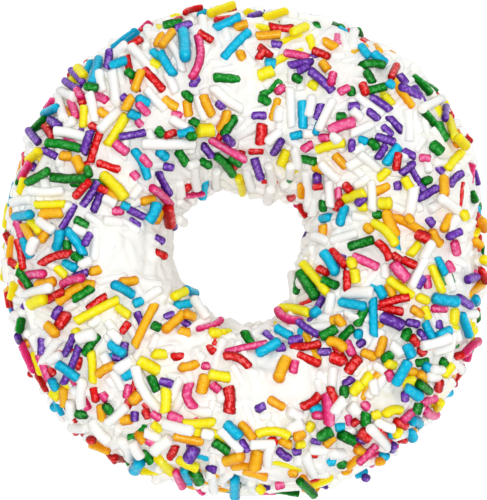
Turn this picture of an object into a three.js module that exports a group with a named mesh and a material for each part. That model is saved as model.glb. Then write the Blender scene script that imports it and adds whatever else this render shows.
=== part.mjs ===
// A ring doughnut dipped in thick icing, in millimetres, +Z up.
// The ring rests on the flat of its underside at z = 0, and the origin is the middle of its footprint.
// +Y is the thick side of the ring. Loose toppings on the icing are decoration, and aren't solids here.
import * as THREE from "three";
import { ParametricGeometry } from "three/addons/geometries/ParametricGeometry.js";

// Driving dimensions of the iced ring.
const ICED_RADIUS = 42.6; // from the middle to the outside of the icing
const HOLE_RADIUS = 13.3; // of the iced hole, at its narrowest
const HOLE_SHIFT = { x: -1.0, y: -0.9 }; // the hole sits off the middle of the ring
const CROWN_HEIGHT = 28.6; // from the rest face to the top of the icing
const WAIST_HEIGHT = 12.6; // where the ring is widest

// The icing.
const ICING_CROWN = 2.6; // thickness on top
const ICING_SIDE = 1.9; // thickness at the waist
const LIP_WIDTH = 3.4; // the lower edge rounds off over this distance
const GAP = 0.35; // clearance between icing and dough
const OUTER_LIP = -13; // degrees round the tube from the waist: the icing ends below it
const HOLE_LIP = 197; // the same on the side of the hole

// Cross-section of the dough: a superellipse, fuller below the waist than above it.
const CROWN_FULLNESS = 2.25;
const BASE_FULLNESS = 2.75;
const BASE_DEPTH = 13.4; // below the waist, cut flat at z = 0

// What is uneven in hand-shaped dough. Each lobe is [how many round the ring, height, degrees of one crest].
const OUTLINE_LOBES = [[2, 0.45, 90], [3, 0.2, 60], [4, 0.64, 40], [5, 0.27, 35]];
const HOLE_LOBES = [[2, 0.55, 87], [3, 1.0, 35], [4, 0.38, 35]];
const CROWN_LOBES = [[1, 0.7, 100], [3, 0.35, 20], [5, 0.2, 50]];
const OUTER_LIP_LOBES = [[1, 7, 90], [3, 2.2, 15], [7, 3, 40], [11, 1.6, 8]]; // in degrees
const HOLE_LIP_LOBES = [[2, 3, 20], [5, 3.5, 60]]; // in degrees
const WAVE_HEIGHT = 0.3; // of the broad swells in the icing
const WAVES_ROUND_RING = 6;
const WAVES_ROUND_TUBE = 2;

// How finely the solids are faceted.
const RING_STEPS = 72;
const DOUGH_STEPS = 24;
const ICING_STEPS_OUTSIDE = 20;
const ICING_STEPS_INSIDE = 12;
const CROWDING = 0.6; // how strongly the facets gather at the icing's two lips, 0 to 1

const DOUGH_LOOK = { color: 0xb9783a, roughness: 0.75 };
const ICING_LOOK = { color: 0xf4f2eb, roughness: 0.4 };

const { cos, sin, abs, sign, sqrt, min, max, PI } = Math;
const { lerp, degToRad } = THREE.MathUtils;

function lobes(list, theta) {
  const heights = list.map(([count, height, crest]) => height * cos(count * (theta - degToRad(crest))));
  return heights.reduce((sum, height) => sum + height, 0);
}

// Radius of the hole's wall from the middle of the ring, in direction theta.
function holeWall(theta) {
  const shift = HOLE_SHIFT.x * cos(theta) + HOLE_SHIFT.y * sin(theta);
  return HOLE_RADIUS + shift + lobes(HOLE_LOBES, theta);
}

// The dough's tube in direction theta: the radius of its middle, its half width and its rise over the waist.
function tube(theta) {
  const skin = ICING_SIDE + GAP;
  const outside = ICED_RADIUS + lobes(OUTLINE_LOBES, theta) - skin;
  const inside = holeWall(theta) + skin;
  return {
    middle: (outside + inside) / 2,
    halfWidth: (outside - inside) / 2,
    rise: CROWN_HEIGHT + lobes(CROWN_LOBES, theta) - ICING_CROWN - GAP - WAIST_HEIGHT,
  };
}

// A signed power, for the superellipse.
function swell(value, fullness) {
  return sign(value) * abs(value) ** (2 / fullness);
}

// The point at angle phi round the tube, moved out from the dough by `off`.
// phi is 0 at the outer waist, a quarter turn at the crown and a half turn at the hole.
function onTube(theta, phi, off, target) {
  const { middle, halfWidth, rise } = tube(theta);
  const above = sin(phi) >= 0;
  const fullness = above ? CROWN_FULLNESS : BASE_FULLNESS;
  const height = (above ? rise : BASE_DEPTH) + off;
  const radius = middle + (halfWidth + off) * swell(cos(phi), fullness);
  const z = max(WAIST_HEIGHT + height * swell(sin(phi), fullness), 0);
  return target.set(radius * cos(theta), radius * sin(theta), z);
}

function lipAngles(theta) {
  return {
    outer: degToRad(OUTER_LIP + lobes(OUTER_LIP_LOBES, theta)),
    hole: degToRad(HOLE_LIP + lobes(HOLE_LIP_LOBES, theta)),
  };
}

// Thickness of the icing: most on the crown, with broad swells, rounded off to nothing at both lips.
function icingThickness(theta, phi, lip) {
  const onCrown = max(sin(phi), 0) ** 2;
  const swells = WAVE_HEIGHT * sin(WAVES_ROUND_RING * theta) * sin(WAVES_ROUND_TUBE * phi + theta);
  const toLip = min(phi - lip.outer, lip.hole - phi) * tube(theta).halfWidth;
  const inward = 1 - min(max(toLip / LIP_WIDTH, 0), 1);
  return (lerp(ICING_SIDE, ICING_CROWN, onCrown) + swells) * sqrt(1 - inward ** 2);
}

// Spreads steps over 0 to 1 with more of them near both ends, where the lips are.
function crowdEnds(share) {
  return lerp(share, (1 - cos(PI * share)) / 2, CROWDING);
}

function icingPoint(u, v, target) {
  const theta = 2 * PI * u;
  const lip = lipAngles(theta);
  const outsideShare = ICING_STEPS_OUTSIDE / (ICING_STEPS_OUTSIDE + ICING_STEPS_INSIDE);
  if (v <= outsideShare) {
    const phi = lerp(lip.outer, lip.hole, crowdEnds(v / outsideShare));
    return onTube(theta, phi, GAP + icingThickness(theta, phi, lip), target);
  }
  const phi = lerp(lip.hole, lip.outer, (v - outsideShare) / (1 - outsideShare));
  return onTube(theta, phi, GAP, target);
}

function doughPoint(u, v, target) {
  return onTube(2 * PI * u, 2 * PI * v, 0, target);
}

function solid(name, point, stepsRoundTube, look) {
  const geometry = new ParametricGeometry(point, RING_STEPS, stepsRoundTube);
  const mesh = new THREE.Mesh(geometry, new THREE.MeshStandardMaterial(look));
  mesh.name = name;
  return mesh;
}

const doughnut = new THREE.Group();
doughnut.add(solid("dough_ring", doughPoint, DOUGH_STEPS, DOUGH_LOOK));
doughnut.add(solid("icing", icingPoint, ICING_STEPS_OUTSIDE + ICING_STEPS_INSIDE, ICING_LOOK));

// Puts the origin at the middle of the footprint, on the rest face.
const box = new THREE.Box3().setFromObject(doughnut, true);
const centre = box.getCenter(new THREE.Vector3());
doughnut.position.set(-centre.x, -centre.y, -box.min.z);

const part = new THREE.Group();
part.add(doughnut);

export default part;
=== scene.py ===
"""Looks of an iced ring doughnut under rod sprinkles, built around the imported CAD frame.

The icing and the dough repeat the CAD's own shape at a finer step. The sprinkles are rods of sugar, laid on
the icing one by one, each held up by the icing and by the rods already there. Half sunk ones come first, at
random, then the ones that stand out in the photograph, each where it lies there, and last short ones
wherever the icing still shows too much. Lengths are in millimetres until a mesh is written, and angles in
radians unless a comment says degrees.
"""
from copy import copy

import bpy
import numpy as np
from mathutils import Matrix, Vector
from mathutils.bvhtree import BVHTree
from mathutils.kdtree import KDTree


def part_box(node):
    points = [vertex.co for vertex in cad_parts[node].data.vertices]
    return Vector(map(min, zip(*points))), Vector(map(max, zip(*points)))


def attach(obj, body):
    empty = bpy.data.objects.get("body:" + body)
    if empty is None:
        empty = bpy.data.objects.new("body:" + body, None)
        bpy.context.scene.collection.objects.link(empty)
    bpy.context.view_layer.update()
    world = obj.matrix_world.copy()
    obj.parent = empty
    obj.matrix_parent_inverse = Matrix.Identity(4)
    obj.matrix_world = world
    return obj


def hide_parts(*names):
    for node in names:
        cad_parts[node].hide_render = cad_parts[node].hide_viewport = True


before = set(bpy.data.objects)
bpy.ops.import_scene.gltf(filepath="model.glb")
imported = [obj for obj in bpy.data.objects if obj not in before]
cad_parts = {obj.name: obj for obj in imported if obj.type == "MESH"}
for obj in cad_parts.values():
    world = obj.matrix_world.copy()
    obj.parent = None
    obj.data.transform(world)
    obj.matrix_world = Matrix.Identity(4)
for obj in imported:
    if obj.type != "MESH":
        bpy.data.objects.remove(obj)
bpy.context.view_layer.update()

MM = 0.001
SEED = 41
TINY = 1e-12

# ---- The ring's shape, as in the CAD model ----
ICED_RADIUS = 42.6
HOLE_RADIUS = 13.3
HOLE_SHIFT = (-1.0, -0.9)
CROWN_HEIGHT = 28.6
WAIST_HEIGHT = 12.6
ICING_CROWN = 2.6
ICING_SIDE = 1.9
LIP_WIDTH = 3.4
GAP = 0.35
OUTER_LIP = -13  # degrees
HOLE_LIP = 197  # degrees
CROWN_FULLNESS = 2.25
BASE_FULLNESS = 2.75
BASE_DEPTH = 13.4
# Lobes are (how many round the ring, height, degrees of one crest). The lips' heights are in degrees too.
OUTLINE_LOBES = [(2, 0.45, 90), (3, 0.2, 60), (4, 0.64, 40), (5, 0.27, 35)]
HOLE_LOBES = [(2, 0.55, 87), (3, 1.0, 35), (4, 0.38, 35)]
CROWN_LOBES = [(1, 0.7, 100), (3, 0.35, 20), (5, 0.2, 50)]
OUTER_LIP_LOBES = [(1, 7, 90), (3, 2.2, 15), (7, 3, 40), (11, 1.6, 8)]
HOLE_LIP_LOBES = [(2, 3, 20), (5, 3.5, 60)]
WAVE_HEIGHT = 0.3
WAVES_ROUND_RING = 6
WAVES_ROUND_TUBE = 2

# ---- What the looks add to the icing and the dough ----
LIP_TUCK = 0.3  # the icing's edge ends this far inside the dough's skin
LIP_FRAY = [(17, 0.9, 5), (23, 0.7, 3), (31, 0.45, 9)]  # small drips on both lips, in degrees
BEAD_HEIGHT = 0.35  # icing that has run down thickens above the lip
BEAD_FROM_LIP = 2.4
BEAD_WIDTH = 1.3
RIPPLES = 26
RIPPLE_HEIGHT = 0.16
ICING_RING_STEPS = 600
ICING_OUTSIDE_STEPS = 150
ICING_INSIDE_STEPS = 10
CROWDING = 0.35  # how strongly the steps gather at the lips, 0 to 1
DROWNED_RODS = 320  # sprinkles that have sunk under the icing and only swell it
DROWNED_HEIGHT = (0.25, 0.65)
DROWNED_WIDTH = 1.0
DROWNED_HALF_LENGTH = (1.2, 4.5)
DROWNED_IN_BARE = 8  # how much likelier they are in the bare patches
CREEP_HEIGHT = 0.5  # icing creeps this far up a rod
CREEP_REACH = 0.6
RISE_FADE = 0.04  # what raises the icing fades out over this share of the way from lip to lip
DOUGH_RING_STEPS = 320
DOUGH_TUBE_STEPS = 96
CRUST_HEIGHT = 0.12

# ---- The photograph's view ----
PHOTO_WIDTH = 487
PHOTO_HEIGHT = 500
MM_PER_PIXEL = 0.178
ELEVATION = 78  # degrees
DISTANCE = 450
AIM = np.array([0.0, -0.5, 14.0])
SENSOR = 36.0
CLIP_NEAR = 0.01  # in metres, and so is the next
CLIP_FAR = 20
RAY_START = 40  # the search along a pixel's ray starts this far before the aim
RAY_STEPS = 60
LEAST_STEP = 0.05
TOUCHING = 0.02
RAY_LOST = 4  # a ray is given up this far past the place where it was nearest

# ---- Rods of sugar ----
ROD_RADIUS = 0.88
RADIUS_SPREAD = 0.05
ROD_SIDES = 12
BODY_RINGS = 14
WHITE_BODY_RINGS = 4
CAP_ANGLES = np.radians([60, 24])  # of the rings of a rounded end
CAP_SHARE = (0.25, 0.75)  # length of the rounded end, as a share of the radius
CAP_FULLNESS = 0.6  # 1 is a round end, and less a squarer one
BOW = 0.025  # of the middle, as a share of the length
BOW_FREEDOM = 3  # of the t spread of the bows: the smaller, the more odd ones
MOST_BOW = 0.1
SLANT = 0.3  # of the cut ends
# Unevenness of a rod, as shares of its radius, and how fast it changes along the rod, in radians for each
# millimetre.
LUMP = 0.032
NECKING = 0.025
NECKING_PACE = 2.6
OVAL = 0.03
TWIST = 0.02
TWIST_PACE = 1.4
# Lengths as the shape and scale of a gamma spread, the shortest and the longest.
LONGEST = 9.5
WHITE_LENGTHS = ((10, 0.52), 2.8, LONGEST)
COLOURED_LENGTHS = ((9, 0.47), 2.0, 8.0)
FILLING_LENGTHS = ((9, 0.38), 1.9, 6)
SIDE_LONGEST = 6.5  # of the rods that are brought to their pixels step by step
PLACED_SHORTEST = 2.1  # as a multiple of the radius
BALL_STEP = 0.6  # a rod is weighed against the others as a row of balls this far apart
BALL_INSET = 0.6  # the outermost ones are this share of the rounded end from the tips
MOST_BALLS = 40000
NEARBY = 3  # rods within this of a rod's tips are weighed against it
PACKING = 0.85  # touching rods may press together to this share of their distance
# Rods give way under others: they hold them up with this share of their thickness.
SOFT = 0.4  # the sunk ones where the photograph looks, and the last short ones
FIRM = 0.62  # the placed ones
STEEPEST = 0.55  # slope of a rod against the icing
LEAST_FACING = 0.3  # where the icing faces a rod's way up less than this, it counts as this much
SEEN_FACING = 0.35  # icing that faces the camera less than this counts as the ring's side
WALL_FACING = 0.6  # icing that faces the middle of the ring more than this is the wall of the hole
TRIES = 6
SEAT_SPREAD = 0.7  # how far from its seat a rod is tried
OVERHANG = 1.5  # a sunk rod's tips keep within this distance of the icing
SUNK_RODS = 1700  # tried, and about half of them find a low place
SIDE_SHARE = 1.8  # how much denser they lie where the photograph doesn't look, as nothing is placed there
BARE_SHARE = 0.01  # and how much thinner in the bare patches
LIP_MARGIN = 0.015  # none lie this near a lip, as a share of the way from lip to lip
LIP_FADE = 0.06  # and fewer over this share from there
SUNK_HEIGHT = 0.75  # none lies higher than this over its seat
SEEN_SINK = (0.42, 0.66)  # share of a rod's thickness that is in the icing
SIDE_SINK = (0.2, 0.5)
PLACED_SINK = (0.1, 0.35)
FACING = 0.35  # how squarely the icing faces the camera where a rod is laid straight away from it
AIM_ROUNDS = 9  # elsewhere it is laid along the icing, and brought to its pixels step by step
AIM_STEP = 4  # pixels
AIM_DAMPING = 0.8
FILL_TRIES = 9000
FILL_CLEAR = 1.25  # nothing else lies this near

# Shares of the colours among the rods that aren't placed.
MIX = {
    "white": 0.36,
    "red": 0.125,
    "orange": 0.12,
    "yellow": 0.11,
    "green": 0.08,
    "blue": 0.08,
    "purple": 0.06,
    "pink": 0.055,
}
WHITE, RED, ORANGE, YELLOW, GREEN, BLUE, PURPLE, PINK = MIX
WHITE_BETWEEN = 0.75  # of the rods between the placed ones, this share is white
THICKNESS = {
    WHITE: 1,
    RED: 0.87,
    ORANGE: 0.97,
    YELLOW: 0.96,
    GREEN: 0.93,
    BLUE: 0.97,
    PURPLE: 0.86,
    PINK: 0.89,
}

# ---- What stands out in the photograph, read off it, in its pixels ----
# Ovals of bare icing: middle x and y, half width and half height.
BARE_PATCHES = [
    (128, 252, 30, 30),
    (168, 256, 22, 40),
    (243, 86, 17, 24),
    (300, 118, 10, 14),
    (345, 80, 12, 12),
    (408, 110, 14, 14),
    (452, 194, 10, 10),
    (272, 392, 44, 22),
    (286, 372, 30, 14),
    (190, 345, 26, 11),
    (104, 352, 8, 12),
    (114, 388, 9, 8),
    (148, 342, 9, 10),
    (396, 400, 18, 10),
    (338, 374, 10, 8),
    (466, 338, 10, 6),
]

# Single sprinkles: colour and both tips, and for some also the bow of the middle, to the left as one goes
# from the first tip to the second, and the width. Later ones lie on earlier ones.
TOP_LEFT = [
    (BLUE, 139, 33, 110, 48), (WHITE, 127, 43, 112, 56), (BLUE, 99, 58, 91, 84), (RED, 142, 38, 129, 46),
    (PURPLE, 109, 49, 106, 69), (BLUE, 127, 60, 111, 66), (WHITE, 112, 69, 116, 104),
    (WHITE, 100, 70, 104, 92), (PURPLE, 65, 80, 80, 89), (PURPLE, 71, 70, 81, 81),
    (YELLOW, 80, 71, 86, 78), (GREEN, 85, 86, 98, 88), (PINK, 70, 100, 76, 118), (RED, 79, 97, 84, 105),
    (PINK, 76, 90, 82, 98), (WHITE, 60, 91, 74, 97), (WHITE, 89, 92, 95, 122), (PINK, 95, 95, 107, 101),
    (ORANGE, 98, 109, 108, 116), (YELLOW, 84, 105, 83, 128), (WHITE, 57, 96, 64, 119),
    (BLUE, 43, 113, 56, 107), (PINK, 44, 106, 52, 99), (GREEN, 32, 132, 45, 118),
    (PURPLE, 32, 134, 35, 140), (PURPLE, 50, 121, 58, 126), (WHITE, 64, 127, 75, 119),
    (RED, 45, 126, 53, 138), (WHITE, 40, 130, 36, 146), (WHITE, 53, 131, 86, 138),
    (PURPLE, 42, 150, 57, 157), (GREEN, 45, 143, 81, 149), (RED, 89, 124, 98, 129),
    (RED, 100, 132, 90, 163), (PURPLE, 91, 130, 83, 154), (YELLOW, 127, 114, 107, 146),
    (WHITE, 120, 110, 99, 131), (RED, 143, 68, 164, 91), (ORANGE, 142, 69, 134, 92),
    (GREEN, 126, 70, 134, 77), (PURPLE, 121, 95, 128, 102), (ORANGE, 133, 96, 124, 111),
    (BLUE, 137, 97, 150, 104), (WHITE, 146, 88, 166, 110), (PINK, 137, 102, 149, 115),
    (BLUE, 129, 113, 138, 117), (PINK, 137, 120, 142, 126), (PURPLE, 119, 137, 146, 132),
    (GREEN, 157, 129, 163, 136), (PINK, 114, 142, 128, 153), (BLUE, 133, 149, 148, 180, 3, 9),
    (PINK, 141, 156, 150, 166), (YELLOW, 40, 150, 28, 160), (ORANGE, 59, 155, 72, 156),
    (ORANGE, 75, 157, 82, 172), (PINK, 28, 162, 17, 176), (YELLOW, 151, 62, 160, 67),
    (BLUE, 151, 50, 166, 62), (ORANGE, 165, 34, 157, 47),
]
TOP_MIDDLE = [
    (YELLOW, 204, 18, 239, 3), (RED, 186, 20, 204, 12, 3, 7), (GREEN, 163, 26, 182, 22),
    (PURPLE, 175, 29, 192, 24), (BLUE, 214, 28, 241, 16), (ORANGE, 234, 28, 248, 23),
    (PURPLE, 250, 13, 261, 9), (YELLOW, 263, 18, 287, 14), (RED, 269, 26, 293, 28),
    (YELLOW, 292, 33, 307, 26), (ORANGE, 256, 36, 281, 34), (GREEN, 313, 25, 319, 26),
    (BLUE, 250, 31, 223, 59), (ORANGE, 240, 52, 243, 59), (RED, 258, 46, 272, 57),
    (RED, 258, 60, 266, 50), (PURPLE, 271, 44, 282, 45), (PINK, 284, 53, 309, 58),
    (RED, 312, 50, 329, 57), (ORANGE, 323, 41, 336, 48), (ORANGE, 322, 62, 328, 70),
    (PURPLE, 288, 66, 312, 62), (PURPLE, 297, 72, 309, 65), (PURPLE, 309, 70, 333, 92),
    (GREEN, 292, 76, 302, 81), (YELLOW, 309, 83, 317, 88), (BLUE, 267, 64, 274, 64),
    (YELLOW, 258, 76, 274, 70, 0, 12), (GREEN, 258, 98, 269, 103), (PINK, 276, 93, 285, 86),
    (PURPLE, 199, 76, 192, 87), (WHITE, 169, 42, 182, 72), (PINK, 198, 33, 191, 81, 4, 9),
    (RED, 198, 32, 213, 41), (BLUE, 183, 30, 185, 58, 0, 12), (ORANGE, 173, 31, 161, 46),
    (WHITE, 166, 72, 176, 94), (BLUE, 160, 52, 174, 75), (ORANGE, 163, 98, 178, 108),
    (ORANGE, 187, 100, 189, 117), (GREEN, 184, 92, 193, 100), (WHITE, 198, 94, 206, 121),
    (ORANGE, 203, 94, 213, 116), (PURPLE, 217, 101, 224, 108), (ORANGE, 227, 110, 218, 131),
    (GREEN, 236, 117, 223, 136), (PINK, 171, 114, 182, 116), (WHITE, 170, 118, 189, 128),
    (GREEN, 191, 120, 199, 124), (YELLOW, 197, 131, 214, 130, 0, 14), (RED, 165, 136, 177, 131),
    (BLUE, 178, 134, 194, 130), (GREEN, 188, 136, 196, 136), (GREEN, 178, 151, 187, 165),
    (GREEN, 200, 160, 211, 167), (GREEN, 216, 156, 233, 175), (GREEN, 229, 157, 242, 165),
    (WHITE, 140, 144, 197, 144), (PURPLE, 202, 145, 213, 158), (PURPLE, 226, 138, 232, 144),
    (PINK, 210, 139, 246, 160), (BLUE, 158, 151, 167, 158), (PURPLE, 163, 166, 174, 168),
    (WHITE, 188, 167, 198, 162), (PURPLE, 251, 116, 267, 116), (RED, 262, 123, 260, 145, 0, 12),
    (RED, 248, 151, 264, 151), (PURPLE, 254, 158, 261, 179), (WHITE, 266, 144, 281, 131),
    (PURPLE, 282, 140, 273, 154), (BLUE, 302, 100, 303, 129), (BLUE, 290, 137, 303, 134),
    (WHITE, 303, 134, 313, 134), (PURPLE, 322, 103, 315, 120), (BLUE, 319, 122, 315, 135, 0, 7),
    (WHITE, 290, 87, 292, 128), (WHITE, 312, 95, 308, 117), (WHITE, 335, 93, 316, 137),
    (WHITE, 212, 86, 244, 110), (YELLOW, 287, 150, 280, 166), (PINK, 302, 150, 313, 143),
    (WHITE, 293, 147, 297, 170), (YELLOW, 317, 150, 345, 143), (PINK, 319, 139, 331, 139),
    (ORANGE, 312, 167, 326, 171),
]
TOP_RIGHT = [
    (BLUE, 361, 46, 370, 57), (BLUE, 373, 52, 387, 64), (GREEN, 360, 66, 386, 66),
    (GREEN, 366, 71, 373, 84), (GREEN, 367, 91, 387, 86), (RED, 362, 83, 366, 95),
    (RED, 397, 65, 391, 78), (PURPLE, 399, 74, 407, 84), (PURPLE, 400, 86, 421, 97),
    (GREEN, 413, 74, 432, 92), (BLUE, 387, 81, 395, 86), (YELLOW, 384, 95, 393, 105),
    (PINK, 338, 93, 350, 87), (PINK, 334, 72, 331, 85), (PURPLE, 370, 97, 391, 111),
    (WHITE, 356, 94, 384, 115), (PURPLE, 348, 107, 360, 106), (PURPLE, 367, 110, 379, 120),
    (WHITE, 351, 110, 362, 119), (GREEN, 336, 117, 346, 117), (PINK, 329, 131, 356, 122, 0, 12),
    (WHITE, 331, 135, 340, 142), (WHITE, 350, 134, 373, 124), (PURPLE, 352, 140, 352, 152),
    (BLUE, 359, 139, 368, 143), (GREEN, 369, 141, 377, 149), (PURPLE, 388, 116, 402, 131),
    (PURPLE, 382, 125, 393, 136), (PURPLE, 375, 136, 396, 143), (PURPLE, 386, 145, 377, 159),
    (BLUE, 400, 145, 385, 165), (RED, 399, 152, 396, 171), (PURPLE, 402, 150, 416, 157),
    (PURPLE, 414, 163, 400, 174), (PINK, 419, 158, 431, 159), (GREEN, 432, 144, 442, 153, 0, 12),
    (GREEN, 438, 121, 448, 140), (YELLOW, 436, 107, 441, 118), (YELLOW, 448, 117, 456, 139),
    (PURPLE, 449, 106, 446, 117), (ORANGE, 455, 131, 458, 139), (YELLOW, 454, 142, 467, 147),
    (YELLOW, 463, 152, 447, 170), (ORANGE, 334, 154, 347, 168), (WHITE, 320, 162, 340, 181),
    (WHITE, 347, 168, 367, 156), (WHITE, 359, 154, 379, 170), (WHITE, 419, 110, 445, 97),
]
LEFT = [
    (YELLOW, 22, 177, 17, 191), (GREEN, 26, 183, 49, 170), (GREEN, 51, 177, 87, 178),
    (GREEN, 87, 168, 89, 176), (WHITE, 27, 190, 64, 190), (ORANGE, 107, 191, 119, 201),
    (YELLOW, 101, 174, 126, 199, 0, 12), (RED, 90, 180, 74, 198), (PURPLE, 98, 181, 82, 206),
    (PURPLE, 101, 193, 93, 212), (RED, 98, 187, 107, 191), (WHITE, 102, 198, 115, 206),
    (WHITE, 130, 199, 141, 186), (PINK, 132, 172, 137, 179), (PURPLE, 159, 172, 171, 195),
    (PINK, 152, 188, 171, 206), (ORANGE, 40, 214, 63, 213), (YELLOW, 35, 205, 65, 204),
    (PURPLE, 75, 204, 61, 229), (WHITE, 11, 203, 31, 200), (BLUE, 14, 217, 31, 214),
    (PINK, 15, 221, 21, 239), (RED, 17, 239, 23, 270), (ORANGE, 11, 236, 9, 259), (RED, 9, 261, 17, 267),
    (ORANGE, 24, 225, 32, 240), (YELLOW, 29, 221, 40, 234), (ORANGE, 47, 232, 40, 242),
    (WHITE, 38, 220, 54, 231), (BLUE, 23, 240, 31, 258), (WHITE, 36, 238, 30, 254),
    (BLUE, 60, 230, 56, 249), (BLUE, 66, 230, 84, 256), (GREEN, 66, 240, 67, 252),
    (GREEN, 74, 219, 88, 227), (WHITE, 72, 227, 86, 234), (PURPLE, 91, 233, 84, 246),
    (GREEN, 72, 254, 83, 262), (RED, 40, 265, 71, 254), (BLUE, 63, 263, 77, 269),
    (YELLOW, 56, 267, 66, 276), (WHITE, 79, 267, 92, 260), (ORANGE, 89, 272, 101, 269),
    (PURPLE, 72, 278, 88, 271), (PINK, 26, 276, 45, 274), (GREEN, 16, 271, 29, 288),
    (ORANGE, 36, 285, 55, 281), (PINK, 61, 285, 83, 278), (ORANGE, 57, 303, 83, 285),
    (RED, 46, 301, 64, 291), (GREEN, 72, 300, 93, 287), (WHITE, 22, 295, 52, 287),
    (YELLOW, 30, 305, 45, 299, 0, 12), (YELLOW, 12, 282, 12, 300), (RED, 7, 292, 13, 307),
    (GREEN, 21, 317, 19, 332), (PURPLE, 62, 307, 54, 320), (RED, 68, 312, 57, 328, 0, 12),
    (ORANGE, 46, 325, 56, 335), (RED, 107, 296, 88, 310), (YELLOW, 118, 307, 130, 316),
    (YELLOW, 119, 299, 75, 322), (ORANGE, 119, 282, 138, 280), (BLUE, 112, 284, 134, 296),
    (BLUE, 133, 304, 143, 300), (ORANGE, 155, 304, 134, 347), (RED, 129, 322, 121, 333),
    (WHITE, 106, 320, 117, 335), (GREEN, 152, 324, 161, 328), (PINK, 112, 211, 124, 210),
    (ORANGE, 141, 202, 155, 199), (PURPLE, 128, 209, 144, 217), (BLUE, 121, 204, 130, 208),
    (ORANGE, 160, 211, 156, 222), (BLUE, 157, 203, 148, 222, 0, 12), (PURPLE, 154, 237, 163, 242),
    (RED, 155, 252, 166, 257),
]
ROUND_THE_HOLE = [
    (WHITE, 217, 169, 217, 191), (YELLOW, 238, 178, 242, 195), (WHITE, 246, 170, 252, 190),
    (WHITE, 268, 165, 272, 186), (WHITE, 272, 188, 270, 204), (WHITE, 291, 165, 290, 179),
    (WHITE, 306, 171, 308, 207), (PURPLE, 317, 175, 317, 184), (RED, 313, 187, 323, 186),
    (ORANGE, 298, 187, 300, 202), (RED, 300, 205, 308, 217), (WHITE, 316, 197, 312, 217),
    (GREEN, 323, 200, 323, 211), (BLUE, 321, 219, 331, 217), (ORANGE, 323, 224, 322, 236),
    (WHITE, 312, 236, 328, 243), (WHITE, 305, 254, 314, 249), (BLUE, 322, 251, 336, 274),
    (RED, 318, 268, 328, 273), (GREEN, 296, 265, 301, 300), (GREEN, 300, 272, 316, 298, 0, 12),
    (YELLOW, 301, 262, 327, 293), (GREEN, 321, 279, 338, 286), (WHITE, 288, 265, 292, 305),
    (YELLOW, 280, 308, 309, 313), (PINK, 270, 305, 312, 318, -6, 9), (BLUE, 311, 315, 320, 309),
    (PURPLE, 298, 321, 319, 335), (BLUE, 275, 327, 292, 337), (RED, 169, 207, 171, 226, 0, 12),
    (PINK, 172, 196, 211, 194, 0, 7), (RED, 184, 190, 190, 184), (WHITE, 178, 201, 188, 206),
    (WHITE, 194, 165, 197, 190), (WHITE, 229, 321, 247, 331), (WHITE, 250, 332, 271, 324),
    (WHITE, 178, 220, 187, 228), (YELLOW, 173, 297, 186, 291), (BLUE, 185, 289, 196, 294),
    (BLUE, 175, 306, 192, 303), (WHITE, 194, 300, 207, 318), (ORANGE, 165, 330, 184, 313),
    (ORANGE, 184, 314, 194, 317), (PURPLE, 183, 322, 189, 325), (PINK, 190, 328, 228, 321, 0, 7),
    (PURPLE, 165, 318, 174, 314), (ORANGE, 178, 331, 191, 334), (YELLOW, 209, 333, 221, 333),
]
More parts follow.
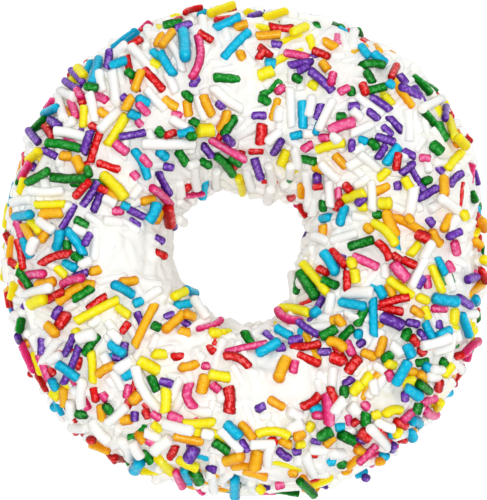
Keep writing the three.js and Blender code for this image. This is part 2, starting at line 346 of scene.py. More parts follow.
RIGHT = [
    (YELLOW, 389, 169, 378, 179), (YELLOW, 404, 177, 411, 189), (PURPLE, 397, 183, 398, 189),
    (PURPLE, 438, 187, 417, 199), (GREEN, 423, 183, 431, 180), (PURPLE, 438, 168, 443, 172),
    (ORANGE, 444, 176, 445, 196), (PURPLE, 463, 173, 450, 186), (GREEN, 473, 191, 479, 202),
    (WHITE, 440, 198, 462, 214), (PURPLE, 429, 218, 434, 225), (ORANGE, 451, 215, 443, 231),
    (ORANGE, 432, 230, 441, 244), (RED, 417, 234, 430, 240, 0, 12), (YELLOW, 463, 211, 466, 220),
    (WHITE, 458, 217, 452, 238), (PURPLE, 447, 238, 463, 231), (PINK, 454, 241, 457, 255),
    (ORANGE, 477, 220, 481, 230), (ORANGE, 472, 240, 479, 246), (YELLOW, 475, 259, 483, 263),
    (RED, 477, 270, 480, 283), (PURPLE, 469, 279, 475, 277), (BLUE, 437, 257, 446, 275),
    (PINK, 447, 262, 453, 272), (YELLOW, 431, 265, 443, 294), (PINK, 426, 275, 428, 289),
    (PURPLE, 424, 277, 417, 288), (YELLOW, 420, 243, 409, 256), (WHITE, 433, 241, 421, 262),
    (WHITE, 426, 258, 411, 288), (RED, 392, 254, 404, 262), (RED, 402, 259, 417, 266),
    (RED, 377, 242, 390, 260), (PINK, 393, 263, 408, 280, 0, 12), (PINK, 352, 256, 379, 268),
    (WHITE, 385, 265, 386, 279), (ORANGE, 387, 283, 394, 297), (YELLOW, 388, 278, 414, 296),
    (RED, 379, 305, 410, 297), (YELLOW, 417, 296, 429, 301), (YELLOW, 424, 306, 429, 320),
    (ORANGE, 411, 308, 422, 317), (BLUE, 433, 298, 458, 302, 0, 12), (PURPLE, 458, 297, 471, 306),
    (PINK, 431, 308, 448, 308), (YELLOW, 454, 308, 453, 325), (GREEN, 478, 312, 482, 321),
    (BLUE, 469, 316, 477, 335), (PURPLE, 438, 321, 440, 329), (BLUE, 425, 321, 434, 339),
    (BLUE, 438, 336, 450, 330), (PURPLE, 406, 322, 420, 325), (PURPLE, 381, 317, 404, 327, 0, 12),
    (GREEN, 408, 330, 404, 340), (BLUE, 373, 298, 374, 337), (GREEN, 366, 307, 357, 326),
    (GREEN, 341, 339, 353, 327), (BLUE, 339, 302, 366, 307), (BLUE, 378, 286, 384, 298),
    (WHITE, 343, 293, 373, 292, 0, 12), (RED, 347, 270, 347, 290), (YELLOW, 350, 258, 354, 269),
    (YELLOW, 354, 269, 356, 283), (GREEN, 349, 247, 373, 240), (ORANGE, 365, 226, 371, 232),
    (ORANGE, 386, 211, 397, 237, 0, 12), (YELLOW, 372, 222, 396, 246, 3, 10),
    (YELLOW, 379, 204, 392, 203, 0, 12), (YELLOW, 359, 207, 367, 207), (GREEN, 374, 214, 381, 215),
    (PURPLE, 356, 205, 366, 196), (BLUE, 346, 205, 340, 226), (YELLOW, 344, 199, 365, 192),
    (PINK, 338, 187, 339, 201), (RED, 345, 185, 350, 191), (RED, 336, 208, 341, 202),
    (WHITE, 353, 186, 369, 175), (WHITE, 329, 181, 331, 208), (WHITE, 371, 181, 372, 211),
    (WHITE, 414, 187, 408, 219), (WHITE, 331, 241, 358, 233), (RED, 331, 250, 346, 266),
    (WHITE, 332, 292, 328, 315), (ORANGE, 330, 322, 341, 318), (ORANGE, 336, 316, 344, 326),
    (WHITE, 344, 312, 355, 319), (GREEN, 320, 337, 337, 328), (BLUE, 361, 331, 359, 338),
    (ORANGE, 407, 217, 411, 222),
]
BOTTOM_LEFT = [
    (PURPLE, 23, 332, 25, 339), (PINK, 26, 341, 36, 373), (PINK, 38, 355, 49, 381),
    (WHITE, 31, 335, 39, 351), (PURPLE, 42, 338, 42, 355), (RED, 50, 369, 54, 375),
    (RED, 80, 357, 77, 369), (PURPLE, 79, 346, 63, 384), (PURPLE, 74, 334, 64, 355),
    (GREEN, 98, 335, 84, 355), (BLUE, 57, 364, 78, 379), (WHITE, 48, 362, 61, 355),
    (WHITE, 77, 339, 94, 335, 0, 12), (BLUE, 53, 382, 55, 386), (YELLOW, 52, 393, 58, 398),
    (ORANGE, 63, 388, 64, 406), (GREEN, 65, 410, 68, 420), (WHITE, 70, 402, 72, 418),
    (WHITE, 83, 381, 82, 409), (GREEN, 76, 414, 87, 415), (WHITE, 70, 425, 90, 427),
    (RED, 89, 440, 94, 440), (WHITE, 91, 420, 110, 442), (YELLOW, 91, 351, 93, 384, 0, 9),
    (ORANGE, 97, 376, 115, 365), (WHITE, 109, 330, 121, 342), (PURPLE, 125, 342, 123, 360),
    (PURPLE, 113, 357, 122, 358), (BLUE, 110, 343, 125, 354), (WHITE, 116, 371, 131, 361, 0, 12),
    (BLUE, 123, 377, 134, 372), (RED, 93, 387, 96, 402), (PINK, 101, 393, 107, 400),
    (ORANGE, 100, 404, 102, 421), (GREEN, 106, 406, 110, 411), (WHITE, 106, 424, 127, 406),
    (ORANGE, 122, 421, 130, 420), (PINK, 129, 384, 126, 399), (ORANGE, 140, 394, 131, 403, 0, 12),
    (PURPLE, 135, 411, 135, 422), (RED, 144, 410, 149, 419), (PINK, 151, 412, 161, 419),
    (YELLOW, 153, 424, 159, 429), (ORANGE, 138, 433, 145, 443), (PINK, 147, 440, 154, 443),
    (WHITE, 144, 432, 160, 438), (WHITE, 152, 453, 171, 438, 0, 12), (GREEN, 142, 451, 152, 463),
    (YELLOW, 158, 459, 173, 474), (BLUE, 140, 462, 134, 471, 0, 12), (RED, 115, 456, 123, 461),
    (WHITE, 121, 440, 130, 458), (WHITE, 132, 442, 141, 458), (GREEN, 150, 375, 157, 392),
    (YELLOW, 138, 360, 158, 371, 0, 12), (YELLOW, 152, 354, 167, 355), (WHITE, 135, 366, 160, 410),
    (PURPLE, 160, 381, 173, 385), (YELLOW, 166, 388, 165, 413, 0, 11),
]
BOTTOM_MIDDLE = [
    (ORANGE, 179, 367, 199, 362), (PINK, 202, 366, 209, 366), (PINK, 190, 383, 194, 407, -5, 10),
    (PINK, 212, 384, 220, 391), (ORANGE, 206, 374, 201, 394, 0, 12), (YELLOW, 208, 374, 231, 378, 0, 11),
    (RED, 228, 386, 229, 414, 0, 12), (PINK, 225, 352, 268, 343, 0, 7), (RED, 223, 356, 250, 368, 2, 9),
    (PURPLE, 277, 348, 285, 347), (BLUE, 256, 354, 280, 340), (PURPLE, 288, 341, 302, 338),
    (RED, 290, 346, 321, 343), (PINK, 296, 360, 293, 374), (ORANGE, 287, 357, 278, 380, 0, 12),
    (PURPLE, 317, 352, 332, 352), (PURPLE, 256, 410, 266, 405), (ORANGE, 268, 398, 285, 408),
    (RED, 301, 407, 320, 394), (BLUE, 311, 410, 321, 409), (PINK, 314, 415, 322, 416),
    (PINK, 326, 392, 329, 425, 0, 12), (WHITE, 288, 411, 303, 417), (YELLOW, 308, 430, 312, 424),
    (WHITE, 288, 431, 304, 423, 0, 12), (PINK, 168, 415, 182, 421), (YELLOW, 197, 424, 197, 436),
    (YELLOW, 183, 424, 215, 422), (WHITE, 201, 433, 214, 436), (RED, 176, 445, 169, 458),
    (ORANGE, 174, 436, 203, 442), (WHITE, 164, 424, 192, 431, 0, 11), (GREEN, 193, 471, 200, 483, 0, 12),
    (PINK, 175, 471, 185, 486), (PINK, 198, 487, 204, 494), (BLUE, 184, 469, 189, 480),
    (YELLOW, 177, 458, 199, 469), (PURPLE, 195, 447, 188, 459, 0, 13), (PURPLE, 209, 467, 215, 470),
    (GREEN, 213, 442, 229, 453), (PURPLE, 240, 440, 249, 452), (BLUE, 225, 423, 241, 438, 0, 11),
    (WHITE, 219, 429, 242, 453), (YELLOW, 256, 435, 290, 437, 5, 9), (ORANGE, 240, 423, 254, 440),
    (RED, 267, 440, 277, 442), (YELLOW, 296, 445, 305, 444), (ORANGE, 294, 438, 304, 433),
    (ORANGE, 280, 439, 292, 446), (PURPLE, 293, 452, 301, 451), (PURPLE, 277, 449, 291, 459),
    (WHITE, 250, 445, 275, 444), (ORANGE, 243, 471, 268, 478), (ORANGE, 224, 462, 243, 456, 0, 11),
    (ORANGE, 259, 450, 254, 470, 0, 13), (YELLOW, 257, 487, 264, 489), (BLUE, 235, 475, 238, 489),
    (PINK, 276, 486, 283, 484), (ORANGE, 300, 474, 307, 482), (ORANGE, 289, 473, 297, 473),
    (RED, 310, 453, 318, 455), (GREEN, 298, 483, 314, 494), (WHITE, 309, 457, 317, 486),
    (PURPLE, 311, 440, 321, 442), (WHITE, 309, 449, 328, 450, 0, 11), (WHITE, 212, 472, 214, 492),
    (WHITE, 271, 447, 268, 466), (GREEN, 321, 437, 332, 431, 0, 12),
]
BOTTOM_RIGHT = [
    (PINK, 347, 342, 353, 356), (PURPLE, 358, 346, 364, 341), (ORANGE, 327, 342, 345, 351, 3, 10),
    (RED, 330, 356, 345, 362, 0, 12), (RED, 347, 373, 360, 357, 0, 11), (ORANGE, 361, 352, 376, 358),
    (ORANGE, 378, 357, 384, 337), (WHITE, 390, 345, 404, 356, 0, 12), (GREEN, 382, 360, 392, 354),
    (YELLOW, 386, 363, 396, 366), (WHITE, 374, 364, 387, 372), (PINK, 389, 373, 391, 378),
    (PURPLE, 343, 385, 353, 378), (YELLOW, 371, 373, 362, 386, 0, 11),
    (YELLOW, 362, 383, 351, 394, 0, 11), (GREEN, 344, 387, 344, 396), (RED, 330, 387, 337, 402),
    (BLUE, 406, 345, 413, 358, 0, 11), (ORANGE, 408, 371, 416, 373), (YELLOW, 402, 384, 416, 380, 0, 12),
    (BLUE, 409, 361, 395, 385, 0, 11), (RED, 412, 337, 417, 344), (PURPLE, 418, 331, 425, 341),
    (RED, 417, 350, 425, 355), (GREEN, 414, 363, 429, 361), (BLUE, 425, 366, 431, 370),
    (ORANGE, 419, 373, 427, 380), (WHITE, 421, 346, 452, 337), (WHITE, 433, 353, 452, 347),
    (PINK, 463, 358, 484, 341), (RED, 452, 356, 461, 353), (GREEN, 442, 361, 447, 366),
    (YELLOW, 453, 364, 444, 377), (WHITE, 433, 369, 443, 370), (WHITE, 430, 377, 437, 378),
    (RED, 440, 381, 438, 391), (BLUE, 405, 388, 419, 397, 0, 12), (GREEN, 418, 383, 430, 392),
    (PURPLE, 405, 393, 405, 400), (WHITE, 373, 379, 375, 396), (WHITE, 334, 413, 345, 399),
    (WHITE, 350, 404, 357, 414, 0, 12), (GREEN, 366, 412, 366, 426, 0, 11), (PINK, 364, 404, 368, 408),
    (RED, 352, 424, 358, 420), (BLUE, 335, 428, 345, 427), (GREEN, 340, 434, 356, 442, 0, 11),
    (PURPLE, 358, 438, 365, 441), (RED, 360, 431, 370, 438, 0, 12), (RED, 378, 428, 390, 443),
    (WHITE, 375, 420, 395, 429), (WHITE, 370, 428, 387, 446), (YELLOW, 372, 416, 380, 413),
    (YELLOW, 384, 416, 402, 411, 3, 10), (BLUE, 390, 434, 397, 435), (YELLOW, 397, 438, 401, 431),
    (RED, 395, 421, 407, 427), (PINK, 403, 421, 414, 411), (GREEN, 416, 414, 420, 403),
    (PINK, 424, 411, 436, 415), (PINK, 422, 404, 437, 399), (YELLOW, 441, 402, 437, 409),
    (BLUE, 414, 424, 422, 428), (BLUE, 409, 431, 412, 440), (PURPLE, 394, 445, 391, 449),
    (BLUE, 381, 457, 386, 454), (ORANGE, 358, 450, 364, 453), (ORANGE, 373, 459, 382, 458),
    (PINK, 358, 464, 377, 445), (BLUE, 354, 475, 364, 468), (PURPLE, 362, 475, 367, 478),
    (ORANGE, 345, 472, 350, 472), (BLUE, 327, 463, 336, 462), (GREEN, 337, 465, 346, 465),
    (WHITE, 330, 452, 345, 453), (ORANGE, 325, 446, 335, 437), (PURPLE, 330, 487, 332, 497),
    (WHITE, 380, 446, 388, 448),
]
REGIONS = [
    TOP_LEFT, TOP_MIDDLE, TOP_RIGHT, LEFT, ROUND_THE_HOLE, RIGHT, BOTTOM_LEFT, BOTTOM_MIDDLE, BOTTOM_RIGHT,
]


# ---- The ring's shape ----
def lobes(table, theta):
    return sum(height * np.cos(count * (theta - np.radians(crest))) for count, height, crest in table)


def hole_wall(theta):
    shift = HOLE_SHIFT[0] * np.cos(theta) + HOLE_SHIFT[1] * np.sin(theta)
    return HOLE_RADIUS + shift + lobes(HOLE_LOBES, theta)


def tube(theta):
    """Radius of the tube's middle in direction theta, its half width and its rise over the waist."""
    skin = ICING_SIDE + GAP
    outside = ICED_RADIUS + lobes(OUTLINE_LOBES, theta) - skin
    inside = hole_wall(theta) + skin
    rise = CROWN_HEIGHT + lobes(CROWN_LOBES, theta) - ICING_CROWN - GAP - WAIST_HEIGHT
    return (outside + inside) / 2, (outside - inside) / 2, rise


def swell(value, fullness):
    return np.sign(value) * np.abs(value) ** (2 / fullness)


def on_tube(theta, phi, off):
    """Points at angle phi round the tube, moved out from the dough by off."""
    middle, half_width, rise = tube(theta)
    above = np.sin(phi) >= 0
    fullness = np.where(above, CROWN_FULLNESS, BASE_FULLNESS)
    height = np.where(above, rise, BASE_DEPTH) + off
    radius = middle + (half_width + off) * swell(np.cos(phi), fullness)
    z = np.maximum(WAIST_HEIGHT + height * swell(np.sin(phi), fullness), 0)
    return np.stack([radius * np.cos(theta), radius * np.sin(theta), z], axis=-1)


def ripples(theta, phi, count, seed):
    """Gentle unevenness of about unit height, without a seam round the ring."""
    rng = np.random.default_rng(seed)
    total = 0
    for i in range(count):  # each may be finer than the one before, and is lower
        round_ring = rng.integers(3, 8 + 2 * i)
        round_tube = rng.uniform(1, 4 + 0.6 * i)
        turn = rng.uniform(0, 2 * np.pi, 2)
        size = 1 / (1 + 0.25 * i)
        total = total + size * np.sin(round_ring * theta + turn[0] + round_tube * np.cos(phi + turn[1]))
    return total / np.sqrt(count)


def lip_angles(theta):
    fray = lobes(LIP_FRAY, theta)
    outer = np.radians(OUTER_LIP + lobes(OUTER_LIP_LOBES, theta) + fray)
    hole = np.radians(HOLE_LIP + lobes(HOLE_LIP_LOBES, theta) - fray)
    return outer, hole


def icing_height(theta, phi):
    """How far the icing's outside lies from the dough's skin."""
    outer, hole = lip_angles(theta)
    half_width = tube(theta)[1]
    on_crown = np.maximum(np.sin(phi), 0) ** 2
    swells = WAVE_HEIGHT * np.sin(WAVES_ROUND_RING * theta) * np.sin(WAVES_ROUND_TUBE * phi + theta)
    to_lip = np.minimum(phi - outer, hole - phi) * half_width
    bead = BEAD_HEIGHT * np.exp(-(((to_lip - BEAD_FROM_LIP) / BEAD_WIDTH) ** 2))
    full = ICING_SIDE + (ICING_CROWN - ICING_SIDE) * on_crown + swells + bead + GAP + LIP_TUCK
    full = full + RIPPLE_HEIGHT * ripples(theta, phi, RIPPLES, SEED)
    inward = 1 - np.clip(to_lip / LIP_WIDTH, 0, 1)
    return full * np.sqrt(1 - inward**2) - LIP_TUCK


def crowd_ends(share):
    return share + CROWDING * ((1 - np.cos(np.pi * share)) / 2 - share)


def icing_grid():
    """The icing's points, ring step by tube step: first its outside from lip to lip, then back under it."""
    theta = np.linspace(0, 2 * np.pi, ICING_RING_STEPS, endpoint=False)[:, None]
    outer, hole = lip_angles(theta)
    out = crowd_ends(np.linspace(0, 1, ICING_OUTSIDE_STEPS))[None, :]
    phi_out = outer + (hole - outer) * out
    back = np.linspace(1, 0, ICING_INSIDE_STEPS + 2)[None, 1:-1]
    phi_back = outer + (hole - outer) * back
    outside = on_tube(theta, phi_out, icing_height(theta, phi_out))
    inside = on_tube(theta, phi_back, -LIP_TUCK)
    return np.concatenate([outside, inside], axis=1)


def dough_grid():
    theta = np.linspace(0, 2 * np.pi, DOUGH_RING_STEPS, endpoint=False)[:, None]
    phi = np.linspace(0, 2 * np.pi, DOUGH_TUBE_STEPS, endpoint=False)[None, :]
    crust = CRUST_HEIGHT * ripples(theta, phi, RIPPLES, SEED + 1)
    return on_tube(theta, phi, crust)


# ---- The camera, and pixels of the photograph on the model ----
def camera_axes():
    tilt = np.radians(ELEVATION)
    right = np.array([1.0, 0, 0])
    up = np.array([0, np.sin(tilt), np.cos(tilt)])
    ahead = np.array([0, np.cos(tilt), -np.sin(tilt)])
    return right, up, ahead


CAMERA_RIGHT, CAMERA_UP, AHEAD = camera_axes()
EYE = AIM - AHEAD * DISTANCE
PIXEL_SLOPE = MM_PER_PIXEL / DISTANCE


def pixel_ray(x, y):
    aside = (x - PHOTO_WIDTH / 2) * CAMERA_RIGHT - (y - PHOTO_HEIGHT / 2) * CAMERA_UP
    ray = AHEAD + aside * PIXEL_SLOPE
    return ray / np.linalg.norm(ray)


def on_plane(x, y, point, up):
    """Where the ray through a pixel meets the plane through a point, square to `up`."""
    ray = pixel_ray(x, y)
    return EYE + ray * ((point - EYE) @ up) / (ray @ up)


def to_pixels(points):
    away = points - EYE
    depth = away @ AHEAD
    x = PHOTO_WIDTH / 2 + away @ CAMERA_RIGHT / depth / PIXEL_SLOPE
    y = PHOTO_HEIGHT / 2 - away @ CAMERA_UP / depth / PIXEL_SLOPE
    return x, y


def add_camera():
    data = bpy.data.cameras.new("photo_camera")
    data.sensor_fit = "HORIZONTAL"
    data.sensor_width = SENSOR
    data.lens = SENSOR / (PHOTO_WIDTH * PIXEL_SLOPE)
    data.clip_start = CLIP_NEAR
    data.clip_end = CLIP_FAR
    camera = bpy.data.objects.new("photo_camera", data)
    bpy.context.scene.collection.objects.link(camera)
    camera.location = Vector(EYE * MM)
    camera.rotation_euler = Vector(AHEAD).to_track_quat("-Z", "Y").to_euler()
    bpy.context.scene.camera = camera


# ---- The icing as something to lay rods on ----
def grid_normals(points):
    along_ring = np.roll(points, -1, 0) - np.roll(points, 1, 0)
    along_tube = np.roll(points, -1, 1) - np.roll(points, 1, 1)
    normals = np.cross(along_ring, along_tube)
    return normals / np.maximum(np.linalg.norm(normals, axis=-1, keepdims=True), TINY)


def grid_quads(rings, steps):
    i = np.repeat(np.arange(rings), steps)
    j = np.tile(np.arange(steps), rings)
    i1 = (i + 1) % rings
    j1 = (j + 1) % steps
    return np.stack([i * steps + j, i1 * steps + j, i1 * steps + j1, i * steps + j1], axis=1)


def in_frame(points):
    """How far the ring's own middle is from the CAD model's, by the icing's box."""
    low, high = (np.array(corner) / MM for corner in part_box("icing"))
    flat = points.reshape(-1, 3)
    shift = (low + high) / 2 - (flat.max(0) + flat.min(0)) / 2
    return np.array([shift[0], shift[1], 0])


class Icing:
    """The icing's grid, where it stays bare and where it is seen, and what is nearest to any point."""

    def __init__(self, points, rng):
        self.points = points
        self.normals = grid_normals(points)
        self.outside = slice(0, ICING_OUTSIDE_STEPS)
        self.bare = self.find_bare_patches()
        self.seen = self.find_seen()
        self.swell_over_drowned_rods(rng)
        quads = grid_quads(*points.shape[:2])
        self.tree = BVHTree.FromPolygons([Vector(p) for p in self.points.reshape(-1, 3)], quads.tolist())

    def find_bare_patches(self):
        x, y = to_pixels(self.points[:, self.outside])
        bare = np.zeros(x.shape, bool)
        for cx, cy, rx, ry in BARE_PATCHES:
            bare |= ((x - cx) / rx) ** 2 + ((y - cy) / ry) ** 2 < 1
        return bare

    def find_seen(self):
        """Where the photograph looks on the icing, and the hole's wall, which it shows from the side."""
        normals = self.normals[:, self.outside]
        flat = self.points[:, self.outside, :2]
        towards_hole = -(normals[..., :2] * flat).sum(-1) / np.linalg.norm(flat, axis=-1)
        return (normals @ -AHEAD > SEEN_FACING) | (towards_hole > WALL_FACING)

    def area(self):
        """Area of icing at each outer point, fading out towards the lips."""
        along_ring = np.roll(self.points, -1, 0) - self.points
        along_tube = np.roll(self.points, -1, 1) - self.points
        area = np.linalg.norm(np.cross(along_ring, along_tube), axis=-1)[:, self.outside]
        share = crowd_ends(np.linspace(0, 1, ICING_OUTSIDE_STEPS))
        edge = np.minimum(share, 1 - share)
        return area * np.clip((edge - LIP_MARGIN) / LIP_FADE, 0, 1)

    def seats(self, chance, count, rng):
        """Random outer points, as ring step and tube step."""
        picks = rng.choice(chance.size, size=count, p=chance.ravel() / chance.sum())
        return [divmod(int(pick), ICING_OUTSIDE_STEPS) for pick in picks]

    def swell_over_drowned_rods(self, rng):
        chance = self.area() * np.where(self.bare, DROWNED_IN_BARE, 1)
        outside = self.points[:, self.outside]
        rise = np.zeros(outside.shape[:2])
        for i, j in self.seats(chance, DROWNED_RODS, rng):
            axis = any_tangent(self.normals[i, j], rng)
            half = rng.uniform(*DROWNED_HALF_LENGTH)
            away = outside - self.points[i, j]
            along = np.clip(away @ axis, -half, half)
            off = np.linalg.norm(away - along[..., None] * axis, axis=-1)
            height = rng.uniform(*DROWNED_HEIGHT)
            rise = np.maximum(rise, height * np.exp(-((off / DROWNED_WIDTH) ** 2)))
        self.raise_outside(rise)

    def raise_outside(self, rise):
        share = np.linspace(0, 1, ICING_OUTSIDE_STEPS)
        fade = np.clip(np.minimum(share, 1 - share) / RISE_FADE, 0, 1)
        self.points[:, self.outside] += self.normals[:, self.outside] * (rise * fade)[..., None]

    def nearest(self, point):
        place, normal, _, _ = self.tree.find_nearest(Vector(point))
        return np.array(place), np.array(normal)

    def distance(self, point):
        return np.linalg.norm(point - self.nearest(point)[0])

    def climb(self, point, up, lift):
        """How far a point has to go along `up` to be `lift` above the icing."""
        place, normal = self.nearest(point)
        return (lift - (point - place) @ normal) / max(normal @ up, LEAST_FACING)

    def on_ray(self, x, y, lift):
        """Where the ray through a pixel comes `lift` above the icing, or passes nearest to it."""
        ray = pixel_ray(x, y)
        point = EYE + ray * (DISTANCE - RAY_START)
        least_gap, best = np.inf, point
        for _ in range(RAY_STEPS):
            place, normal = self.nearest(point)
            gap = float(np.linalg.norm(point - place)) - lift
            if gap < least_gap:
                least_gap, best = gap, place + normal * lift
            if gap < TOUCHING or gap > least_gap + RAY_LOST:
                break
            point = point + ray * max(gap, LEAST_STEP)
        return best

    def creep_up(self, pile):
        """Draws the icing a little up the rods that touch it."""
        tree = KDTree(pile.count)
        for index in range(pile.count):
            tree.insert(pile.middles[index], index)
        tree.balance()
        flat = self.points[:, self.outside].reshape(-1, 3)
        found = [tree.find(point)[1:] for point in flat]
        index = np.array([pair[0] for pair in found])
        gap = np.array([pair[1] for pair in found]) - pile.radii[index]
        rise = CREEP_HEIGHT * np.exp(-((np.maximum(gap, 0) / CREEP_REACH) ** 2))
        self.raise_outside(rise.reshape(self.bare.shape))


# ---- Laying the rods ----
def any_tangent(normal, rng):
    start = rng.normal(size=3)
    start = start - (start @ normal) * normal
    return start / np.linalg.norm(start)


class Rod:
    """One sprinkle, with what differs from rod to rod."""

    def __init__(self, colour, length, sink, rng):
        self.colour = colour
        self.length = length
        self.radius = ROD_RADIUS * THICKNESS[colour] * rng.normal(1, RADIUS_SPREAD)
        self.bow = np.clip(BOW * rng.standard_t(BOW_FREEDOM), -MOST_BOW, MOST_BOW) * length
        self.cap = rng.uniform(*CAP_SHARE) * self.radius
        self.slant = rng.normal(0, SLANT)
        self.turns = rng.uniform(0, 2 * np.pi, 4)
        self.lumps = rng.normal(0, LUMP, (BODY_RINGS + 2 * len(CAP_ANGLES), ROD_SIDES))
        self.tone = rng.random()
        self.sink = rng.uniform(*sink)

    def balls(self, middle, axis, side):
        """Distances along the rod from its middle, and the places there."""
        reach = self.length / 2 - self.cap * BALL_INSET
        count = max(3, int(np.ceil(2 * reach / BALL_STEP)) + 1)
        along = np.linspace(-reach, reach, count)
        bow = self.bow * (1 - (2 * along / self.length) ** 2)
        return along, middle + along[:, None] * axis + bow[:, None] * side

    def tips(self):
        return self.middle + np.array([[-0.5], [0.5]]) * self.length * self.axis

    def settle(self, middle, axis, up, height, slope):
        self.axis = axis + slope * up
        self.axis = self.axis / np.linalg.norm(self.axis)
        self.middle = middle + height * up
        self.side = np.cross(up, self.axis)
        self.side = self.side / np.linalg.norm(self.side)

    def stretch(self, length, bow, longest):
        """Takes a length, and a bow given as its share of the length and as millimetres."""
        self.length = float(np.clip(length, PLACED_SHORTEST * self.radius, longest))
        self.bow = bow[0] * self.length + bow[1]


class Pile:
    """The rods laid so far, each as a row of balls, and the icing under them."""

    def __init__(self, icing):
        self.icing = icing
        self.rods = []
        self.middles = np.zeros((MOST_BALLS, 3))
        self.radii = np.zeros(MOST_BALLS)
        self.firm = np.zeros(MOST_BALLS)  # radius as far as it holds up another rod
        self.count = 0

    def balls_near(self, point, reach):
        others = self.middles[: self.count]
        return np.flatnonzero(((others - point) ** 2).sum(1) < reach**2)

    def rest(self, rod, middle, axis, up):
        """How high a rod lies over `middle` and how steeply, held up by the icing and the rods under it."""
        side = np.cross(up, axis)
        along, balls = rod.balls(middle, axis, side)
        lift = rod.radius * (1 - 2 * rod.sink)
        need = np.array([self.icing.climb(ball, up, lift) for ball in balls])
        near = self.balls_near(middle, rod.length / 2 + NEARBY)
        if len(near):
            apart = self.middles[near][None] - balls[:, None]
            above = apart @ up
            across2 = (apart**2).sum(-1) - above**2
            touch = (self.firm[near] + rod.radius)[None] * PACKING
            held = above + np.sqrt(np.maximum(touch**2 - across2, 0))
            held[across2 >= touch**2] = -np.inf
            need = np.maximum(need, held.max(1))
        left = np.flatnonzero(along < -TINY)
        right = np.flatnonzero(along >= -TINY)
        a0, a1 = along[left][:, None], along[right][None]
        n0, n1 = need[left][:, None], need[right][None]
        height = (n0 * a1 - n1 * a0) / (a1 - a0)
        slope = (n1 - n0) / (a1 - a0)
        best = np.unravel_index(height.argmax(), height.shape)
        return height[best], slope[best]

    def lowest_rest(self, rod, seat, normal, rng):
        """Of a few ways to lie near a seat, the lowest, or None where all are too steep or stand off."""
        best = None
        for _ in range(TRIES):
            axis = any_tangent(normal, rng)
            middle = seat + any_tangent(normal, rng) * rng.uniform(0, SEAT_SPREAD)
            height, slope = self.rest(rod, middle, axis, normal)
            if abs(slope) > STEEPEST or (best is not None and height > best[0]):
                continue
            rod.settle(middle, axis, normal, height, slope)
            if max(self.icing.distance(tip) for tip in rod.tips()) < OVERHANG:
                best = (height, slope, middle, axis)
        return best

    def add(self, rod, firmness=1):
        balls = rod.balls(rod.middle, rod.axis, rod.side)[1]
        end = self.count + len(balls)
        self.middles[self.count : end] = balls
        self.radii[self.count : end] = rod.radius
        self.firm[self.count : end] = rod.radius * firmness
        self.count = end
        self.rods.append(rod)


def any_colour(rng, seen):
    if seen and rng.random() < WHITE_BETWEEN:
        return WHITE
    shares = np.array(list(MIX.values()))
    return list(MIX)[rng.choice(len(MIX), p=shares / shares.sum())]


def any_length(lengths, rng):
    spread, shortest, longest = lengths
    return float(np.clip(rng.gamma(*spread), shortest, longest))


def lay_sunk_rods(pile, rng):
    """The lowest rods, half sunk in the icing: mostly white where the photograph looks, mixed elsewhere."""
    icing = pile.icing
    chance = icing.area() * np.where(icing.bare, BARE_SHARE, 1) * np.where(icing.seen, 1, SIDE_SHARE)
    for i, j in icing.seats(chance, SUNK_RODS, rng):
        seen = icing.seen[i, j]
        colour = any_colour(rng, seen)
        length = any_length(WHITE_LENGTHS if colour == WHITE else COLOURED_LENGTHS, rng)
        rod = Rod(colour, length, SEEN_SINK if seen else SIDE_SINK, rng)
        best = pile.lowest_rest(rod, icing.points[i, j], icing.normals[i, j], rng)
        if best is not None and best[0] < SUNK_HEIGHT:
            height, slope, middle, axis = best
            rod.settle(middle, axis, icing.normals[i, j], height, slope)
            pile.add(rod, SOFT if seen else 1)


def lay_in_view(pile, rod, tips, middle, bow):
    """Lays a rod straight away from the camera, so that its tips stay on their pixels."""
    up = -pixel_ray(*tips.mean(0))
    start, end = (on_plane(x, y, middle, up) for x, y in tips)
    axis = (end - start) / np.linalg.norm(end - start)
    rod.stretch(np.linalg.norm(end - start), bow, LONGEST)
    height, slope = pile.rest(rod, middle, axis, up)
    normal = pile.icing.nearest(middle)[1]
    tilt = -(normal @ axis) / (normal @ up)  # of the icing itself, along the rod
    slope = float(np.clip(slope, tilt - STEEPEST, tilt + STEEPEST))
    rod.settle(middle, axis, up, height, slope)
    rod.length = min(rod.length * np.hypot(1, slope), LONGEST)
    return rod


def lay_between(pile, rod, start, end, bow):
    """Lays a rod on the icing from one place to another, on what is there."""
    middle = (start + end) / 2
    place, normal = pile.icing.nearest(middle)
    base = middle - ((middle - place) @ normal) * normal
    axis = end - start
    axis = axis - (axis @ normal) * normal
    axis = axis / np.linalg.norm(axis)
    rod.stretch(np.linalg.norm(end - start), bow, SIDE_LONGEST)
    height, slope = pile.rest(rod, base, axis, normal)
    rod.settle(base, axis, normal, height, float(np.clip(slope, -STEEPEST, STEEPEST)))
    return height


def lay_by_steps(pile, rod, tips, bow):
    """Lays a rod along the icing again and again until its tips meet their pixels, and keeps the best."""
    aim = tips.copy()
    height = ROD_RADIUS
    least_miss, best = np.inf, rod
    for _ in range(AIM_ROUNDS):
        start, end = (pile.icing.on_ray(x, y, height) for x, y in aim)
        height = lay_between(pile, rod, start, end, bow)
        miss = tips - np.stack(to_pixels(rod.tips()), axis=1)
        if np.abs(miss).max() < least_miss:
            least_miss, best = np.abs(miss).max(), copy(rod)
        aim += AIM_DAMPING * np.clip(miss, -AIM_STEP, AIM_STEP)
    return best


